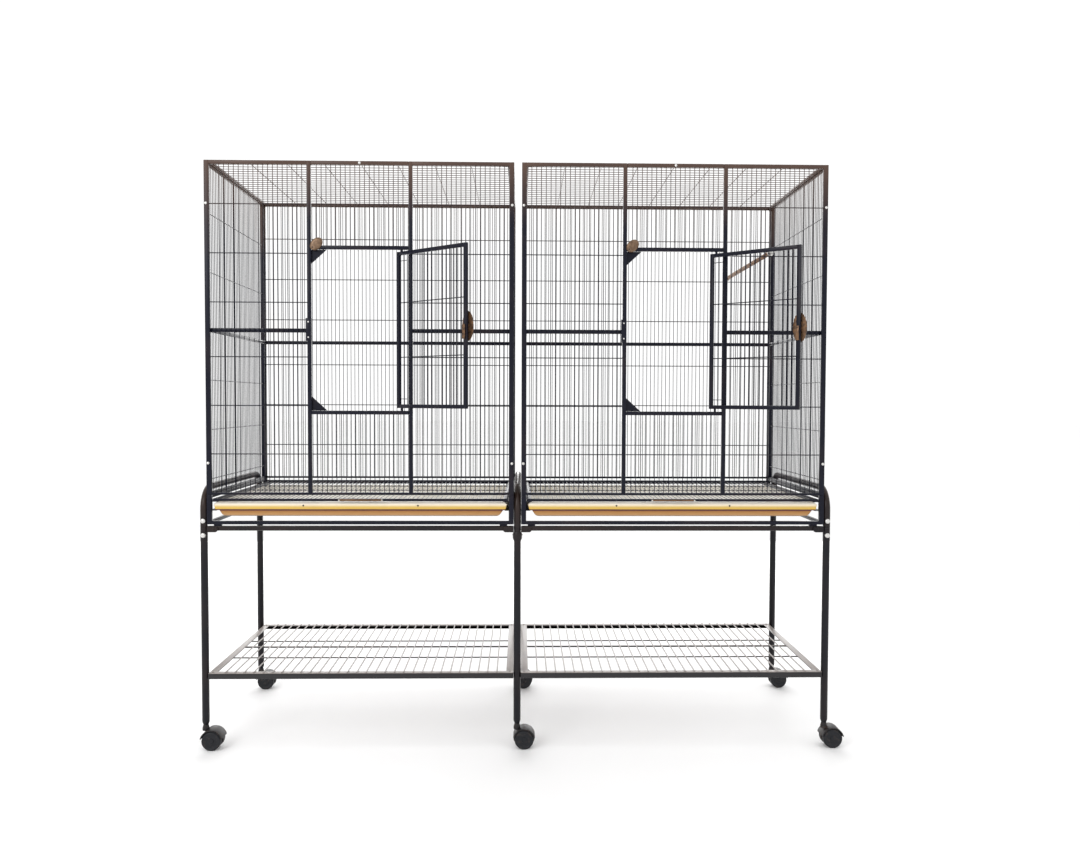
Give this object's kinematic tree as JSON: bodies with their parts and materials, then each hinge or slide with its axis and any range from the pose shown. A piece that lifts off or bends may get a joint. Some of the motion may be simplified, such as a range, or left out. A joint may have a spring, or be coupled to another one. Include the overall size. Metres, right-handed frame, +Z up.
{
  "type": "bird cage on stand",
  "caption": "Double flight bird cage of dark wire panels on a tubular wheeled stand with wire shelves, swing doors, wire floors and slide-out trays.",
  "frame": {"origin": "on the ground, in the middle of the whole object's outline seen from above, with the doors open as at rest", "axes": "+X to the right along both cages, +Y from the front to the back, +Z up"},
  "size_m": [1.7028, 0.6988, 1.543],
  "materials": {
    "frame": "satin black powder coat with a blue cast",
    "bronze": "bronze-brown gloss coat",
    "shelf": "satin charcoal powder coat",
    "tray": "satin golden coat",
    "button": "tan-bronze coat",
    "caster": "matt charcoal plastic",
    "wheel": "matt charcoal plastic tread",
    "wood": "plain brown dowel"
  },
  "bodies": {
    "stand_and_cages": {"hoop_left": "frame", "leg_front_left": "frame", "leg_rear_left": "frame", "hoop_middle": "frame", "leg_front_middle": "frame", "leg_rear_middle": "frame", "hoop_right": "frame", "leg_front_right": "frame", "leg_rear_right": "frame", "rail_front_left": "frame", "rail_rear_left": "frame", "shelf_left": "shelf", "rail_front_right": "frame", "rail_rear_right": "frame", "shelf_right": "shelf", "front_latch_column_left": "frame", "front_hinge_column_left": "frame", "grille_over_door_left": "frame", "grille_under_door_left": "frame", "back_wall_left": "frame", "left_wall_left": "frame", "right_wall_left": "frame", "roof_left": "frame", "base_left": "frame", "front_latch_column_right": "frame", "front_hinge_column_right": "frame", "grille_over_door_right": "frame", "grille_under_door_right": "frame", "back_wall_right": "frame", "left_wall_right": "frame", "right_wall_right": "frame", "roof_right": "frame", "base_right": "frame", "perch": "wood"},
    "door_left": {"door_left": "frame"},
    "latch_left": {"door_latch_left": "bronze"},
    "button_left": {"turn_button_left": "button"},
    "floor_left": {"wire_floor_left": "frame"},
    "tray_left": {"tray_left": "tray"},
    "door_right": {"door_right": "frame"},
    "latch_right": {"door_latch_right": "bronze"},
    "button_right": {"turn_button_right": "button"},
    "floor_right": {"wire_floor_right": "frame"},
    "tray_right": {"tray_right": "tray"},
    "caster_front_left": {"caster_front_left": "caster"},
    "wheels_front_left": {"wheels_front_left": "wheel"},
    "caster_rear_left": {"caster_rear_left": "caster"},
    "wheels_rear_left": {"wheels_rear_left": "wheel"},
    "caster_front_middle": {"caster_front_middle": "caster"},
    "wheels_front_middle": {"wheels_front_middle": "wheel"},
    "caster_rear_middle": {"caster_rear_middle": "caster"},
    "wheels_rear_middle": {"wheels_rear_middle": "wheel"},
    "caster_front_right": {"caster_front_right": "caster"},
    "wheels_front_right": {"wheels_front_right": "wheel"},
    "caster_rear_right": {"caster_rear_right": "caster"},
    "wheels_rear_right": {"wheels_rear_right": "wheel"}
  },
  "joints": [
    {"name": "door_left_hinge", "type": "hinge", "parent": "stand_and_cages", "child": "door_left", "pos_m": [-0.32165, -0.19263, 1.10675], "axis": [0, 0, 1], "range_deg": [-140, 12]},
    {"name": "latch_left_turn", "type": "hinge", "parent": "door_left", "child": "latch_left", "pos_m": [-0.14642, -0.33967, 1.10675], "axis": [-0.6428, -0.766, 0], "range_deg": [0, 90]},
    {"name": "button_left_turn", "type": "hinge", "parent": "stand_and_cages", "child": "button_left", "pos_m": [-0.5509, -0.19663, 1.32], "axis": [0, 1, 0], "range_deg": [-45, 110]},
    {"name": "floor_left_slide", "type": "slide", "parent": "stand_and_cages", "child": "floor_left", "axis": [0, -1, 0], "range_m": [0, 0.45]},
    {"name": "tray_left_slide", "type": "slide", "parent": "stand_and_cages", "child": "tray_left", "axis": [0, -1, 0], "range_m": [0, 0.45]},
    {"name": "door_right_hinge", "type": "hinge", "parent": "stand_and_cages", "child": "door_right", "pos_m": [0.50135, -0.19263, 1.10675], "axis": [0, 0, 1], "range_deg": [-140, 12]},
    {"name": "latch_right_turn", "type": "hinge", "parent": "door_right", "child": "latch_right", "pos_m": [0.67658, -0.33967, 1.10675], "axis": [-0.6428, -0.766, 0], "range_deg": [0, 90]},
    {"name": "button_right_turn", "type": "hinge", "parent": "stand_and_cages", "child": "button_right", "pos_m": [0.2721, -0.19663, 1.32], "axis": [0, 1, 0], "range_deg": [-45, 110]},
    {"name": "floor_right_slide", "type": "slide", "parent": "stand_and_cages", "child": "floor_right", "axis": [0, -1, 0], "range_m": [0, 0.45]},
    {"name": "tray_right_slide", "type": "slide", "parent": "stand_and_cages", "child": "tray_right", "axis": [0, -1, 0], "range_m": [0, 0.45]},
    {"name": "caster_front_left_swivel", "type": "hinge", "parent": "stand_and_cages", "child": "caster_front_left", "pos_m": [-0.8419, -0.18713, 0.065], "axis": [0, 0, 1], "continuous": true},
    {"name": "wheels_front_left_roll", "type": "hinge", "parent": "caster_front_left", "child": "wheels_front_left", "pos_m": [-0.8229, -0.18713, 0.0255], "axis": [0, 1, 0], "continuous": true},
    {"name": "caster_rear_left_swivel", "type": "hinge", "parent": "stand_and_cages", "child": "caster_rear_left", "pos_m": [-0.8419, 0.32687, 0.065], "axis": [0, 0, 1], "continuous": true},
    {"name": "wheels_rear_left_roll", "type": "hinge", "parent": "caster_rear_left", "child": "wheels_rear_left", "pos_m": [-0.8229, 0.32687, 0.0255], "axis": [0, 1, 0], "continuous": true},
    {"name": "caster_front_middle_swivel", "type": "hinge", "parent": "stand_and_cages", "child": "caster_front_middle", "pos_m": [-0.0189, -0.18713, 0.065], "axis": [0, 0, 1], "continuous": true},
    {"name": "wheels_front_middle_roll", "type": "hinge", "parent": "caster_front_middle", "child": "wheels_front_middle", "pos_m": [0.0001, -0.18713, 0.0255], "axis": [0, 1, 0], "continuous": true},
    {"name": "caster_rear_middle_swivel", "type": "hinge", "parent": "stand_and_cages", "child": "caster_rear_middle", "pos_m": [-0.0189, 0.32687, 0.065], "axis": [0, 0, 1], "continuous": true},
    {"name": "wheels_rear_middle_roll", "type": "hinge", "parent": "caster_rear_middle", "child": "wheels_rear_middle", "pos_m": [0.0001, 0.32687, 0.0255], "axis": [0, 1, 0], "continuous": true},
    {"name": "caster_front_right_swivel", "type": "hinge", "parent": "stand_and_cages", "child": "caster_front_right", "pos_m": [0.8041, -0.18713, 0.065], "axis": [0, 0, 1], "continuous": true},
    {"name": "wheels_front_right_roll", "type": "hinge", "parent": "caster_front_right", "child": "wheels_front_right", "pos_m": [0.8231, -0.18713, 0.0255], "axis": [0, 1, 0], "continuous": true},
    {"name": "caster_rear_right_swivel", "type": "hinge", "parent": "stand_and_cages", "child": "caster_rear_right", "pos_m": [0.8041, 0.32687, 0.065], "axis": [0, 0, 1], "continuous": true},
    {"name": "wheels_rear_right_roll", "type": "hinge", "parent": "caster_rear_right", "child": "wheels_rear_right", "pos_m": [0.8231, 0.32687, 0.0255], "axis": [0, 1, 0], "continuous": true}
  ]
}
